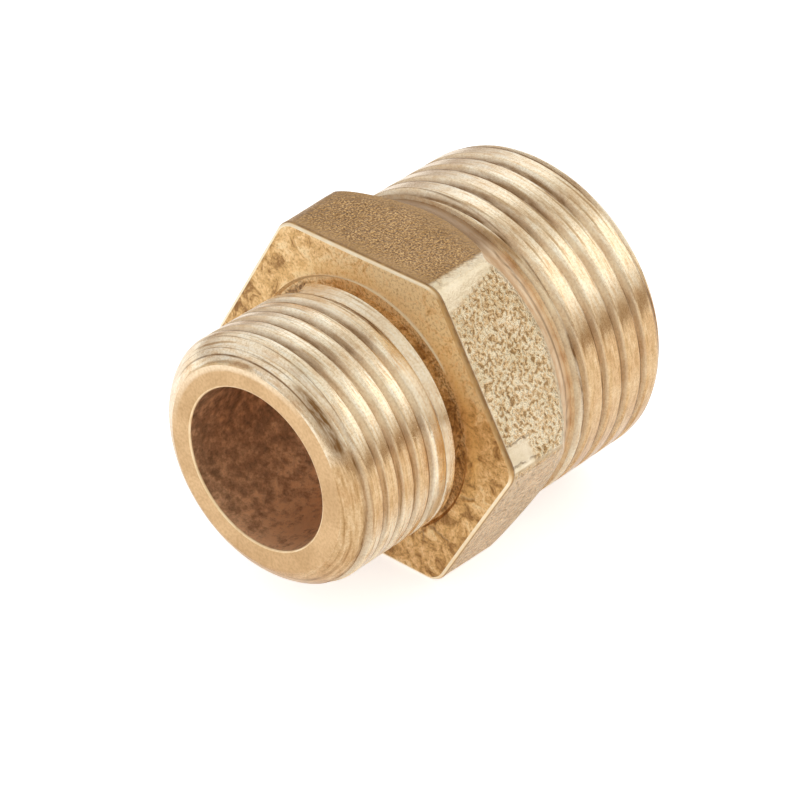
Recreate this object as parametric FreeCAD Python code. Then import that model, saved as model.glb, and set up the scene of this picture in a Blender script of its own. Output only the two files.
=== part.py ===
import FreeCAD, Part
import math
import os

# A brass reducing nipple: two outside pipe threads with a hexagon between them, in one piece.
# The axis is X. The small thread points to -X, the large one to +X, and one flat faces down.
# The origin is on the axis, in the plane of the hexagon's face beside the small thread.

# Outside threads, right-hand, with the pitches of the pipe thread series
INCH = 25.4
SMALL_PITCH = INCH / 19
LARGE_PITCH = INCH / 14
SMALL_CREST_DIAMETER = 16.42
LARGE_CREST_DIAMETER = 20.80
FLANK_ANGLE = 27.5
SMALL_GROOVE_DEPTH = 0.56
LARGE_GROOVE_DEPTH = 0.64
SMALL_GROOVE_AT_TOP_X = -1.72
LARGE_GROOVE_AT_TOP_X = 8.33

# Ends, along the axis
SMALL_END_X = -9.2
LARGE_END_X = 16.8

# The wide groove beside the hexagon in which the small thread runs out
SMALL_RUNOUT_START_X = -1.05
SMALL_RUNOUT_DIAMETER = 15.20

# The ring turned in the hexagon's face behind that groove
FACE_RING_DIAMETER = 16.85
FACE_RING_DEPTH = 0.22
FACE_RING_SLOPE = 0.20

# The narrow ring groove behind the neck in which the large thread runs out
LARGE_RUNOUT_X = 7.97
LARGE_RUNOUT_MARGIN = 0.05

# Hexagon, turned at the back to a gentle cone, a steep one and then a neck
ACROSS_FLATS = 21.0
CORNER_RADIUS = 0.8
FRONT_EDGE_BREAK = 0.22
SHOULDER_START_X = 4.30
SHOULDER_START_DIAMETER = 24.24
CONE_START_X = 5.02
CONE_START_DIAMETER = 23.52
CONE_END_X = 6.20
CONE_END_DIAMETER = 21.14
NECK_MIDDLE_X = 7.02
NECK_MIDDLE_DIAMETER = 20.44
NECK_END_X = 7.60
NECK_END_DIAMETER = 20.20

# End chamfers: each stands a little proud of a straight one, in two steps
SMALL_CHAMFER_DEPTH = 1.45
SMALL_CHAMFER_LENGTH = 1.45
SMALL_CHAMFER_BULGE = 0.20
LARGE_CHAMFER_DEPTH = 1.27
LARGE_CHAMFER_LENGTH = 1.35
LARGE_CHAMFER_BULGE = 0.16

# Bores: the small one goes through, the large one ends in the drill's cone
SMALL_BORE_DIAMETER = 10.62
LARGE_BORE_DIAMETER = 15.0
LARGE_BORE_DEPTH = 11.0
DRILL_HALF_ANGLE = 59.0
SMALL_BORE_LIP = 0.12
LARGE_BORE_LIP = 0.25

# How far cutting tools and joined blanks reach past the surface that they make
OVERRUN = 1.0
THREAD_TOOL_OVERRUN = 0.3

AXIS = FreeCAD.Vector(1, 0, 0)
ORIGIN = FreeCAD.Vector(0, 0, 0)


def turned(half_section):
    """Revolves a lengthwise half section, given as corners of x and radius, about the axis."""
    corners = [FreeCAD.Vector(x, 0, radius) for x, radius in half_section]
    outline = Part.makePolygon(corners + corners[:1])
    return Part.Face(outline).revolve(ORIGIN, AXIS, 360)


def chamfer_corners(x_face, x_crest, crest_radius, depth, bulge):
    """A chamfer's corners from the end face to the crest, its middle one pushed outwards."""
    face_radius = crest_radius - depth
    length = math.hypot(x_face - x_crest, depth)
    outward_x = math.copysign(depth, x_face - x_crest) / length
    outward_radius = abs(x_face - x_crest) / length
    middle_x = (x_face + x_crest) / 2 + outward_x * bulge
    middle_radius = (face_radius + crest_radius) / 2 + outward_radius * bulge
    return [(x_face, face_radius), (middle_x, middle_radius), (x_crest, crest_radius)]


def small_shank():
    """The small end's blank, with its chamfer and run-out groove."""
    crest = SMALL_CREST_DIAMETER / 2
    floor = SMALL_RUNOUT_DIAMETER / 2
    flank = (crest - floor) * math.tan(math.radians(FLANK_ANGLE))
    chamfer = chamfer_corners(
        SMALL_END_X, SMALL_END_X + SMALL_CHAMFER_LENGTH, crest, SMALL_CHAMFER_DEPTH, SMALL_CHAMFER_BULGE)
    return turned([(SMALL_END_X, 0)] + chamfer + [
        (SMALL_RUNOUT_START_X, crest),
        (SMALL_RUNOUT_START_X + flank, floor),
        (OVERRUN, floor),
        (OVERRUN, 0),
    ])


def large_shank():
    """The large end's blank, with its chamfer."""
    crest = LARGE_CREST_DIAMETER / 2
    chamfer = chamfer_corners(
        LARGE_END_X, LARGE_END_X - LARGE_CHAMFER_LENGTH, crest, LARGE_CHAMFER_DEPTH, LARGE_CHAMFER_BULGE)
    return turned([(LARGE_END_X, 0)] + chamfer + [(NECK_END_X, crest), (NECK_END_X, 0)])


def hexagon_bar():
    """A hexagonal bar with rounded corners and its front edges broken, a flat up and a flat down."""
    vertex_radius = ACROSS_FLATS / 2 / math.cos(math.radians(30))
    corners = []
    for step in range(6):
        angle = math.radians(60 * step)
        corners.append(FreeCAD.Vector(0, vertex_radius * math.cos(angle), vertex_radius * math.sin(angle)))
    outline = Part.makePolygon(corners + corners[:1])
    bar = Part.Face(outline).extrude(AXIS * NECK_END_X)
    lengthwise = [edge for edge in bar.Edges if edge.Length > ACROSS_FLATS / 4 and edge.BoundBox.XLength > 1]
    bar = bar.makeFillet(CORNER_RADIUS, lengthwise)
    front = [edge for edge in bar.Edges if edge.BoundBox.XMax < FRONT_EDGE_BREAK / 2]
    return bar.makeChamfer(FRONT_EDGE_BREAK, front)


def turned_back():
    """The space that the tool leaves of the bar: whole in front, two cones and the neck at the back."""
    return turned([
        (-OVERRUN, 0),
        (-OVERRUN, SHOULDER_START_DIAMETER / 2 + OVERRUN),
        (SHOULDER_START_X, SHOULDER_START_DIAMETER / 2 + OVERRUN),
        (SHOULDER_START_X, SHOULDER_START_DIAMETER / 2),
        (CONE_START_X, CONE_START_DIAMETER / 2),
        (CONE_END_X, CONE_END_DIAMETER / 2),
        (NECK_MIDDLE_X, NECK_MIDDLE_DIAMETER / 2),
        (NECK_END_X, NECK_END_DIAMETER / 2),
        (NECK_END_X, 0),
    ])


def face_ring():
    """The shallow ring in the hexagon's face, to be cut away."""
    floor = SMALL_RUNOUT_DIAMETER / 2
    edge = FACE_RING_DIAMETER / 2
    return turned([
        (-OVERRUN, floor),
        (-OVERRUN, edge),
        (0, edge),
        (FACE_RING_DEPTH, edge - FACE_RING_SLOPE),
        (FACE_RING_DEPTH, floor),
    ])


def bores():
    """The through bore and the large bore with its cone, each with its lip broken, to be cut away."""
    small = SMALL_BORE_DIAMETER / 2
    large = LARGE_BORE_DIAMETER / 2
    shoulder_x = LARGE_END_X - LARGE_BORE_DEPTH
    cone_length = (large - small) / math.tan(math.radians(DRILL_HALF_ANGLE))
    return turned([
        (SMALL_END_X - OVERRUN, 0),
        (SMALL_END_X - OVERRUN, small + SMALL_BORE_LIP + OVERRUN),
        (SMALL_END_X + SMALL_BORE_LIP, small),
        (shoulder_x - cone_length, small),
        (shoulder_x, large),
        (LARGE_END_X - LARGE_BORE_LIP, large),
        (LARGE_END_X + OVERRUN, large + LARGE_BORE_LIP + OVERRUN),
        (LARGE_END_X + OVERRUN, 0),
    ])


def large_runout():
    """The ring groove behind the neck, a little larger than the thread's own, to be cut away."""
    outside = LARGE_CREST_DIAMETER / 2 + THREAD_TOOL_OVERRUN
    floor = LARGE_CREST_DIAMETER / 2 - LARGE_GROOVE_DEPTH - LARGE_RUNOUT_MARGIN
    floor_half_width = LARGE_RUNOUT_MARGIN
    outside_half_width = floor_half_width + (outside - floor) * math.tan(math.radians(FLANK_ANGLE))
    return turned([
        (LARGE_RUNOUT_X - floor_half_width, floor),
        (LARGE_RUNOUT_X - outside_half_width, outside),
        (LARGE_RUNOUT_X + outside_half_width, outside),
        (LARGE_RUNOUT_X + floor_half_width, floor),
    ])


def thread_groove(pitch, crest_radius, depth, x_at_top, x_start, x_end):
    """A right-hand helical groove of V section, to be cut away. Where it crosses the top of the
    part its middle is at x_at_top, give or take whole turns."""
    half_width = (depth + THREAD_TOOL_OVERRUN) * math.tan(math.radians(FLANK_ANGLE))
    root = FreeCAD.Vector(crest_radius - depth, 0, 0)
    lower = FreeCAD.Vector(crest_radius + THREAD_TOOL_OVERRUN, 0, -half_width)
    upper = FreeCAD.Vector(crest_radius + THREAD_TOOL_OVERRUN, 0, half_width)
    section = Part.Wire(Part.makePolygon([root, lower, upper, root]).Edges)
    # The helix is made round Z, starting over the X axis, and then turned to run along X
    helix = Part.makeLongHelix(pitch, x_end - x_start, crest_radius, 0)
    groove = Part.Wire(helix.Edges).makePipeShell([section], True, True)
    groove.rotate(ORIGIN, FreeCAD.Vector(0, 1, 0), 90)
    from_bottom_to_top = 180
    turns_before_top = (x_start - x_at_top) / pitch
    groove.rotate(ORIGIN, AXIS, from_bottom_to_top + turns_before_top * 360)
    groove.translate(AXIS * x_start)
    return groove


def nipple_body():
    hexagon = hexagon_bar().common(turned_back()).cut(face_ring())
    blank = hexagon.fuse([small_shank(), large_shank()])
    bored = blank.cut(bores()).cut(large_runout())
    small_groove = thread_groove(
        SMALL_PITCH, SMALL_CREST_DIAMETER / 2, SMALL_GROOVE_DEPTH, SMALL_GROOVE_AT_TOP_X,
        SMALL_END_X - OVERRUN, SMALL_RUNOUT_START_X + SMALL_PITCH / 3)
    large_groove = thread_groove(
        LARGE_PITCH, LARGE_CREST_DIAMETER / 2, LARGE_GROOVE_DEPTH, LARGE_GROOVE_AT_TOP_X,
        LARGE_RUNOUT_X, LARGE_END_X + OVERRUN)
    threaded = bored.cut(small_groove).cut(large_groove)
    return threaded.removeSplitter().Solids[0]


os.makedirs("parts", exist_ok=True)
body = nipple_body()
body.exportStep("parts/nipple_body.step")
box = body.optimalBoundingBox(False, False)
print("valid", body.isValid(), "faces", len(body.Faces), "volume mm3", round(body.Volume, 1))
print("box mm", round(box.XLength, 3), round(box.YLength, 3), round(box.ZLength, 3))
print("centre of gravity", body.CenterOfMass)
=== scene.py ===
import math

import bmesh
import bpy
import numpy as np
from mathutils import Matrix, Vector, noise


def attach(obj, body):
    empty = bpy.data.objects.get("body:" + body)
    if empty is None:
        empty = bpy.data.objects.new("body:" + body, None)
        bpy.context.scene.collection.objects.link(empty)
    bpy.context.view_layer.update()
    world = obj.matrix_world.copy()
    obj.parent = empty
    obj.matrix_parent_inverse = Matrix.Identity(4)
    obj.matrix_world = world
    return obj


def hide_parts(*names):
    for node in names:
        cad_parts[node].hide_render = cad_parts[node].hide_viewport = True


# A brass reducing nipple as one finely meshed skin, in the form of its CAD solid.
# Lengths are millimetres until a mesh, light or camera is made. The axis is X, and an angle round
# it is measured from +Z towards -Y, which is the side that the camera sees. The near crest of a
# groove is the one on the small end's side, where the camera is, and the far flank is opposite.

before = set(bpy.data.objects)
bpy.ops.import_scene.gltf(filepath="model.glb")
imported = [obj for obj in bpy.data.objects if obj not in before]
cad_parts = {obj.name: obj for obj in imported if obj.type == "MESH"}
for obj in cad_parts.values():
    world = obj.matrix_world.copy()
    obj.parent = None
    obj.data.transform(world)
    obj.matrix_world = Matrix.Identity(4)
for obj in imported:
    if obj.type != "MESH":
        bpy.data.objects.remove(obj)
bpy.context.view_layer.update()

MM = 0.001
BODY = "root"
NODE = "nipple_body"

# Ends, threads and run-outs
SMALL_END_X = -9.2
LARGE_END_X = 16.8
SMALL_CREST = 8.21
LARGE_CREST = 10.40
SMALL_THREAD = {"pitch": 25.4 / 19, "crest": SMALL_CREST, "depth": 0.56, "at_top": -1.72}
LARGE_THREAD = {"pitch": 25.4 / 14, "crest": LARGE_CREST, "depth": 0.64, "at_top": 8.33}
FLANK_SLOPE = math.tan(math.radians(27.5))
GROOVE_ROOT_ROUND = 0.03
GROOVE_FADE = 0.1
CREST_EDGE_ROUND = 0.10
SMALL_RUNOUT_X = -0.75
SMALL_RUNOUT_RADIUS = 7.60
SMALL_RUNOUT_FLOOR_X = SMALL_RUNOUT_X + (SMALL_CREST - SMALL_RUNOUT_RADIUS) * FLANK_SLOPE
LARGE_RUNOUT_X = 7.97
LARGE_RUNOUT_RADIUS = 9.71
PLANAR_ROWS_END_X = 8.32

# Where the last crest of the small thread starts, in degrees, and where it is whole again, and where
# the groove beside it gets shallow
CREST_STARTS = (-28, -25)
CREST_IS_WHOLE = (-75, -110)
LAST_GROOVE_RISES = (-2.05, -1.75)
LAST_GROOVE_RISE = 0.28
LAST_CREST_SLOPE = 0.27

# End chamfers: face radius, start on the crest, and how far the middle stands proud
SMALL_FACE_RADIUS = 6.76
SMALL_CHAMFER_X = -7.75
SMALL_CHAMFER_BULGE = 0.20
LARGE_FACE_RADIUS = 9.13
LARGE_CHAMFER_X = 15.45
LARGE_CHAMFER_BULGE = 0.16

# Hexagon, its turned back, the neck and the ring in its front face
HALF_FLATS = 10.5
FRONT_CORNER_RADIUS = 1.5
REAR_CORNER_RADIUS = 0.8
EDGE_BREAK = 0.22
RING_RADIUS = 8.425
RING_SLOPE = 0.20
RING_DEPTH = 0.22
SHOULDER_START = (4.30, 12.12)
SHOULDER_SLOPE = 0.5
CONE_START = (5.02, 11.76)
NECK_END = (7.60, 10.10)
NECK_SLOPE = 0.2
NECK_BLEND = 0.35

# Bores
SMALL_BORE = 5.31
LARGE_BORE = 7.50
SHOULDER_X = 5.80
CONE_LENGTH = (LARGE_BORE - SMALL_BORE) / math.tan(math.radians(59))
SMALL_LIP = 0.12
LARGE_LIP = 0.25

# How far dirt and painted shade spread up the grooves' far flanks, and how strong the dark line along their
# near crests is, by angle. The line is dirt and painted shade where the near crest hides the groove, and both
# are painted weaker where light falls into the grooves
SMALL_THREAD["spread"] = (
    (-150, 0.0), (-90, 0.4), (-20, 0.4), (24, 0.7), (34, 0.0), (57, 0.0), (64, 0.5), (68, 0.5), (73, 0.0))
SMALL_THREAD["line"] = (
    (-60, 0.7), (-20, 0.85), (22, 0.9), (34, 0.2), (58, 0.2), (66, 0.9), (72, 0.45), (100, 0.6))
LARGE_THREAD["spread"] = (
    (-150, 0.2), (-90, 0.7), (-20, 0.75), (24, 0.8), (34, 0.0), (57, 0.0), (64, 0.5), (68, 0.5), (73, 0.2))
LARGE_THREAD["line"] = ((-60, 1.0), (22, 1.0), (34, 0.2), (58, 0.3), (66, 1.0), (72, 0.75), (100, 1.0))

# Stains, dark lines, polish and painted light along the axis: where each starts and is full, or its middle
# and half width. The pale beside the face and the chamfer's tone and glint are painted light, the chamfer's
# crescent is a painted dark reflection, and the large end's groove dirt and run-out line are dirt and painted
# shade
PAINTED_LIGHT_BY_FACE = (-3.4, -2.2)
CHAMFER_PAINTED_LIGHT = (-7.7, -8.0)
CHAMFER_GLINT = (-8.12, 0.3)
CHAMFER_DARK_REFLECTION = (-8.72, 0.42)
LARGE_DIRT_AND_SHADE_STARTS = (7.8, 8.4)
DULL_BY_NECK = (8.7, 8.2)
RUNOUT_LINE = (7.93, 0.14)
NECK_LINE = (7.05, 0.16)

# Tone of each flat, counted from the upper one towards the camera: painted light, dark on the upper flat and
# pale on the near one. The near corner is painted pale as well
FLAT_PAINTED_LIGHT = (0.05, 0.9, 0.5, 0.45, 0.5, 0.45)
NEAR_CORNER_PAINTED_LIGHT = 0.95

# Colour that dirt and painted shade darken the brass to
DIRT_AND_SHADE = (0.23, 0.115, 0.04, 1)

# Camera, fitted to the photograph's outlines
CAMERA_AZIMUTH = math.radians(-47.79)
CAMERA_ELEVATION = math.radians(33.83)
CAMERA_ROLL = math.radians(-0.83)
CAMERA_DISTANCE = 236.44
CAMERA_RIGHT = 2.365
CAMERA_UP = 0.208
CAMERA_LENS = 177.4

FLOOR_Z = -10.5
FLOOR_RADIUS = 200
FLOOR_COLOUR = (0.86, 0.86, 0.86, 1)
FLOOR_GLOW_TO_CAMERA = 0.62
FLOOR_GLOW_IN_BRASS = 0.38
LAMP_DISTANCE = 300

# Colours of the dome by height, from 0 straight down to 1 straight up, on the camera's side and behind
NEAR_DOME = [
    (0.47, (0.36, 0.24, 0.12)),
    (0.52, (0.36, 0.24, 0.12)),
    (0.57, (0.80, 0.74, 0.66)),
    (0.65, (0.92, 0.90, 0.86)),
    (0.80, (0.94, 0.94, 0.92)),
    (0.90, (0.90, 0.90, 0.88)),
    (1.00, (0.82, 0.82, 0.80)),
]
FAR_DOME = [
    (0.47, (0.60, 0.56, 0.54)),
    (0.55, (0.68, 0.64, 0.62)),
    (0.66, (0.88, 0.87, 0.88)),
    (0.80, (0.90, 0.91, 0.94)),
    (0.90, (0.88, 0.88, 0.88)),
    (1.00, (0.82, 0.82, 0.80)),
]

# How finely the skin is meshed, how near points are joined, in metres, and from which angle on an
# edge is shaded as a sharp one
ANGLES_PER_TURN = 300
CORNER_EXTRAS = (-1.8, -0.6, 0.6, 1.8)
WELD_DISTANCE = 1.5e-6
SHARP_ANGLE = math.radians(38)


def column_angles():
    """Angles of the mesh's lengthwise columns, closer together at the hexagon's corners."""
    angles = list(np.linspace(0, 360, ANGLES_PER_TURN + 1))
    for corner in range(30, 360, 60):
        angles += [corner + extra for extra in CORNER_EXTRAS]
    return np.radians(np.array(sorted(angles)))


ANGLES = column_angles()
DEGREES = (np.degrees(ANGLES) + 180) % 360 - 180


def by_angle(*stops):
    """A value for each column, from stops of degrees, -180 to 180, and value."""
    degrees, values = zip(*stops)
    return np.interp(DEGREES, degrees, values)


def smooth_min(first, second, blend):
    share = np.clip(0.5 + 0.5 * (second - first) / blend, 0, 1)
    return second * (1 - share) + first * share - blend * share * (1 - share)


def smooth_step(low, high, value):
    share = np.clip((value - low) / (high - low), 0, 1)
    return share * share * (3 - 2 * share)


def hump(middle, half_width, value):
    """1 at the middle, falling smoothly to 0 at the half width on both sides."""
    return 1 - smooth_step(0, half_width, np.abs(value - middle))


def chamfer_curve(face_x, face_radius, crest_x, crest, bulge):
    """Points of a rounded chamfer, by x and radius, from the end face to the crest."""
    length = math.hypot(face_x - crest_x, crest - face_radius)
    middle_x = (face_x + crest_x) / 2 + math.copysign(crest - face_radius, face_x - crest_x) / length * bulge
    middle_r = (face_radius + crest) / 2 + abs(face_x - crest_x) / length * bulge
    control_x = 2 * middle_x - (face_x + crest_x) / 2
    control_r = 2 * middle_r - (face_radius + crest) / 2
    t = np.linspace(0, 1, 80)
    x = (1 - t) ** 2 * face_x + 2 * t * (1 - t) * control_x + t ** 2 * crest_x
    r = (1 - t) ** 2 * face_radius + 2 * t * (1 - t) * control_r + t ** 2 * crest
    return x, r


SMALL_CHAMFER = chamfer_curve(
    SMALL_END_X, SMALL_FACE_RADIUS, SMALL_CHAMFER_X, SMALL_CREST, SMALL_CHAMFER_BULGE)
LARGE_CHAMFER = chamfer_curve(
    LARGE_END_X, LARGE_FACE_RADIUS, LARGE_CHAMFER_X, LARGE_CREST, LARGE_CHAMFER_BULGE)


def small_blank(x):
    """Radius of the small end before its thread is cut."""
    return np.interp(x, SMALL_CHAMFER[0], SMALL_CHAMFER[1])


def large_blank(x):
    """Radius of the large end before its thread is cut."""
    return np.interp(x, LARGE_CHAMFER[0][::-1], LARGE_CHAMFER[1][::-1])


def groove_middle(thread):
    """For each column, the x of one turn of the thread's groove."""
    return thread["at_top"] + thread["pitch"] * ANGLES / (2 * math.pi)


def groove_floor(x, thread, first_x, last_x):
    """Radius of the helical groove's flanks, which start at first_x and stop at last_x."""
    offset = (x - groove_middle(thread) + thread["pitch"] / 2) % thread["pitch"] - thread["pitch"] / 2
    middle = x - offset
    floor = thread["crest"] - thread["depth"] + np.sqrt(offset ** 2 + GROOVE_ROOT_ROUND ** 2) / FLANK_SLOPE
    before = smooth_step(first_x + GROOVE_FADE, first_x - GROOVE_FADE, middle)
    after = smooth_step(last_x - GROOVE_FADE, last_x + GROOVE_FADE, middle)
    return floor + (before + after) * thread["depth"]


def last_crest_limit(x):
    """Highest radius of the small thread's last crest: it starts at a notch and is worn to a slope."""
    pitch = SMALL_THREAD["pitch"]
    started = smooth_step(*CREST_STARTS, DEGREES) + smooth_step(*CREST_IS_WHOLE, DEGREES)
    beside = x > SMALL_THREAD["at_top"] + pitch * DEGREES / 360
    limit = SMALL_RUNOUT_RADIUS + np.clip(started, 0, 1) * (SMALL_CREST - SMALL_RUNOUT_RADIUS)
    worn = LAST_CREST_SLOPE * by_angle((-30, 0), (-26, 1), (90, 1), (130, 0))
    limit = np.minimum(limit, SMALL_CREST - worn * np.maximum(SMALL_RUNOUT_X - x, 0))
    return np.where(beside, limit, SMALL_CREST)


def small_shank_radius(x):
    """Outside radius of the small end at x, thread, chamfer and run-out included."""
    runout = SMALL_CREST - (x - SMALL_RUNOUT_X) / FLANK_SLOPE
    blank = smooth_min(small_blank(x), runout, CREST_EDGE_ROUND)
    blank = -smooth_min(-blank, np.full_like(blank, -SMALL_RUNOUT_RADIUS), CREST_EDGE_ROUND)
    blank = np.where(x < SMALL_RUNOUT_X - 1, small_blank(x), blank)
    floor = groove_floor(x, SMALL_THREAD, SMALL_END_X - 5, SMALL_RUNOUT_FLOOR_X)
    floor = floor + LAST_GROOVE_RISE * smooth_step(*LAST_GROOVE_RISES, x)
    return np.minimum(smooth_min(blank, floor, CREST_EDGE_ROUND), last_crest_limit(x))


def large_shank_radius(x):
    """Outside radius of the large end at x, with its thread, chamfer and run-out."""
    ring = LARGE_RUNOUT_RADIUS + np.abs(x - LARGE_RUNOUT_X) / FLANK_SLOPE
    blank = smooth_min(large_blank(x), ring, CREST_EDGE_ROUND)
    floor = groove_floor(x, LARGE_THREAD, LARGE_RUNOUT_X, LARGE_END_X + 5)
    return smooth_min(blank, floor, CREST_EDGE_ROUND)


def corner_radius(x):
    """The hexagon's corners are rounder in front than behind."""
    return FRONT_CORNER_RADIUS + (REAR_CORNER_RADIUS - FRONT_CORNER_RADIUS) * smooth_step(0, 4, x)


def hexagon_radius(rounding):
    """Distance from the axis to the hexagon's outline, whose corners have that radius."""
    local = (ANGLES + math.pi / 6) % (math.pi / 3) - math.pi / 6
    arc_start = (HALF_FLATS - rounding) * math.tan(math.pi / 6)
    arc_centre = (HALF_FLATS - rounding) / math.cos(math.pi / 6)
    from_corner = math.pi / 6 - np.abs(local)
    on_arc = np.abs(HALF_FLATS * np.tan(local)) > arc_start
    reach = np.sqrt(np.maximum(rounding ** 2 - (arc_centre * np.sin(from_corner)) ** 2, 0))
    return np.where(on_arc, arc_centre * np.cos(from_corner) + reach, HALF_FLATS / np.cos(local))


def turned_back_radius(x):
    """Radius behind the hexagon: a gentle cone, a steep one, and the neck."""
    shoulder = SHOULDER_START[1] - (x - SHOULDER_START[0]) * SHOULDER_SLOPE
    cone = CONE_START[1] - (x - CONE_START[0])
    neck = NECK_END[1] + (NECK_END[0] - x) * NECK_SLOPE
    turned = smooth_min(shoulder, cone, NECK_BLEND / 2)
    return -smooth_min(-turned, -neck, NECK_BLEND)


def cone_meets_flats():
    """For each column, the x where the turned cone meets the hexagon."""
    x = np.linspace(SHOULDER_START[0] - 0.5, NECK_END[0], 400)
    return np.interp(-hexagon_radius(REAR_CORNER_RADIUS), -turned_back_radius(x), x)


class Skin:
    """Rows of points round the axis, joined in order, and the zone that each strip belongs to."""

    def __init__(self):
        self.rows = []
        self.zones = []

    def row(self, x, radius, zone):
        column = np.ones_like(ANGLES)
        self.rows.append((column * x, column * radius))
        self.zones.append(zone)


def helical_rows(skin, thread, start_x, end_x, radius_at, zone, offsets):
    """Rows that follow the thread's helix, cut off square at start_x and end_x."""
    pitch = thread["pitch"]
    first = math.floor((start_x - thread["at_top"]) / pitch) - 2
    last = math.ceil((end_x - thread["at_top"]) / pitch) + 1
    for turn in range(first, last + 1):
        for offset in offsets:
            x = groove_middle(thread) + turn * pitch + offset
            if x.max() < start_x or x.min() > end_x:
                continue
            x = np.clip(x, start_x, end_x)
            skin.row(x, radius_at(x), zone)


def groove_offsets(thread, crest_steps):
    """Places of the rows across one pitch, from the middle of a groove to the next one."""
    half_width = thread["depth"] * FLANK_SLOPE
    flank = [half_width * share for share in (0.0, 0.35, 0.7, 1.0, 1.12)]
    edge = [thread["pitch"] - half_width * share for share in (1.5, 1.25, 1.05, 0.9, 0.45)]
    crest = list(np.linspace(flank[-1], edge[0], crest_steps + 2))[1:-1]
    return flank + crest + edge


def add_small_bore_and_face(skin):
    """The small bore from the cone outwards, its lip and the small end's face."""
    inner = SHOULDER_X - CONE_LENGTH
    for share in np.linspace(0, 1, 10):
        skin.row(inner + (SMALL_END_X + SMALL_LIP - inner) * share, SMALL_BORE, "bore")
    for share in (0.3, 0.65, 1.0):
        rise = 1 - math.cos(share * math.pi / 2)
        run = math.sin(share * math.pi / 2)
        skin.row(SMALL_END_X + SMALL_LIP * (1 - run), SMALL_BORE + SMALL_LIP * rise, "edge")
    for radius in np.linspace(SMALL_BORE + SMALL_LIP, SMALL_FACE_RADIUS, 7)[1:]:
        skin.row(SMALL_END_X, radius, "end")


def add_hexagon(skin):
    """The run-out groove's floor, the front face with its ring, the flats and the turned back."""
    for x in [SMALL_RUNOUT_FLOOR_X + step for step in (0.04, 0.08, 0.14)] + [-0.1, 0.0, 0.16, RING_DEPTH]:
        skin.row(x, small_shank_radius(np.full_like(ANGLES, x)), "runout")
    for share in (0.2, 0.6, 1.0):
        reach = RING_RADIUS - RING_SLOPE - SMALL_RUNOUT_RADIUS
        skin.row(RING_DEPTH, SMALL_RUNOUT_RADIUS + reach * share, "face")
    for share in (0.35, 0.7, 1.0):
        skin.row(RING_DEPTH * (1 - share), RING_RADIUS - RING_SLOPE * (1 - share), "face")
    rim = hexagon_radius(FRONT_CORNER_RADIUS) - EDGE_BREAK
    for share in (0.02, 0.05, 0.1, 0.18, 0.28, 0.4, 0.53, 0.66, 0.78, 0.88, 0.95, 1.0):
        skin.row(0, RING_RADIUS + (rim - RING_RADIUS) * share, "face")
    for share in (0.15, 0.5, 0.85, 1.0):
        turn = share * math.pi / 2
        skin.row(EDGE_BREAK * (1 - math.cos(turn)), rim + EDGE_BREAK * math.sin(turn), "edge")
    meeting = cone_meets_flats()
    for share in [0.006, 0.014, 0.024, 0.034, 0.046] + list(np.linspace(0.07, 1, 24)):
        x = EDGE_BREAK + (meeting - EDGE_BREAK) * share
        skin.row(x, hexagon_radius(corner_radius(x)), "flat")
    for share in np.linspace(0, 1, 16)[1:]:
        x = meeting + (NECK_END[0] - meeting) * share
        skin.row(x, turned_back_radius(x), "neck")


def add_large_bore_and_face(skin):
    """The large end's face, its lip, the large bore and the cone."""
    for radius in np.linspace(LARGE_FACE_RADIUS, LARGE_BORE + LARGE_LIP, 6)[1:]:
        skin.row(LARGE_END_X, radius, "end")
    for share in (0.35, 0.7, 1.0):
        skin.row(LARGE_END_X - LARGE_LIP * share, LARGE_BORE + LARGE_LIP * (1 - share), "edge")
    for share in np.linspace(0, 1, 8)[1:]:
        skin.row(LARGE_END_X - LARGE_LIP + (SHOULDER_X - LARGE_END_X + LARGE_LIP) * share, LARGE_BORE, "bore")
    for share in np.linspace(0, 1, 6)[1:]:
        skin.row(SHOULDER_X - CONE_LENGTH * share, LARGE_BORE - (LARGE_BORE - SMALL_BORE) * share, "bore")


def build_skin():
    """The whole surface, from the bore's cone round by the outside and back to it."""
    skin = Skin()
    add_small_bore_and_face(skin)
    helical_rows(skin, SMALL_THREAD, SMALL_END_X, SMALL_RUNOUT_X - 0.1, small_shank_radius, "small_thread",
                 groove_offsets(SMALL_THREAD, 2))
    for x in np.linspace(SMALL_RUNOUT_X - 0.1, SMALL_RUNOUT_FLOOR_X + 0.02, 8)[1:]:
        skin.row(x, small_shank_radius(np.full_like(ANGLES, x)), "small_thread")
    add_hexagon(skin)
    for x in (NECK_END[0], 7.63, 7.68, 7.73, 7.78, 7.84, 7.9, 7.94, 7.97, 8.0, 8.04, 8.1, 8.16, 8.22, 8.27):
        skin.row(x, large_shank_radius(np.full_like(ANGLES, x)), "large_thread")
    helical_rows(skin, LARGE_THREAD, PLANAR_ROWS_END_X, LARGE_END_X, large_shank_radius, "large_thread",
                 groove_offsets(LARGE_THREAD, 4))
    add_large_bore_and_face(skin)
    return skin


def set_in(x, radius, zone):
    """How far a row's points are set in: the cast unevenness of the flats."""
    if zone != "flat":
        return np.zeros_like(x)
    depths = []
    for j, angle in enumerate(ANGLES):
        place = Vector((x[j], -radius[j] * math.sin(angle), radius[j] * math.cos(angle)))
        waves = noise.fractal(place * 0.9, 0.9, 2.0, 3)
        depths.append(max(0.0, 0.015 + 0.016 * waves + 0.012 * noise.noise(place * 3.1)))
    return np.array(depths)


# Dirt and painted shade, polish, and tone with painted light, as levels for each point of a row. Dirt and
# shade and polish go from 0 to 1. A tone goes from dark or golden at 0 to pale at 1, and over 1 where the
# surface is paler still and duller. Much of the tone is painted light: pale where a highlight or bright
# reflection is painted, dark or golden where shade or a dark reflection is

def course(x, thread):
    """How far each point is from the middle of one turn of the groove, 0, to the next one, 1."""
    return ((x - groove_middle(thread)) / thread["pitch"] + 1e-6) % 1


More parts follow.
